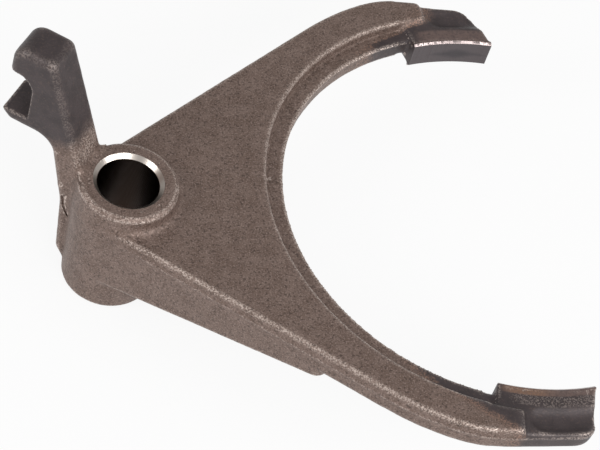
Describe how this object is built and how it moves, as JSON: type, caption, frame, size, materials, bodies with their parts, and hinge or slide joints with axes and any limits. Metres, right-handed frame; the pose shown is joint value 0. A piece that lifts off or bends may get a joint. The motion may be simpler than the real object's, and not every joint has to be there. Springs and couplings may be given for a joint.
{
  "type": "gearbox shift fork",
  "caption": "One-piece forged shift fork: hub with a through bore for the rail, two-prong plate with bearing pads, ribs below, and a selector arm with an open gate.",
  "frame": {"origin": "on the rail bore's axis in the hub's top face, the face that the selector arm rises from", "axes": "+Z along the rail bore out of that face, +X from the bore to the axis of the sliding sleeve between the prongs, +Y completes the right hand"},
  "size_m": [0.1836, 0.1827, 0.0876],
  "materials": {
    "forging": "shot-blasted steel forging, oxidised brown-grey, prong tips and arm darker from hardening, bore machined"
  },
  "bodies": {
    "root": {"fork_body": "forging"}
  },
  "joints": []
}
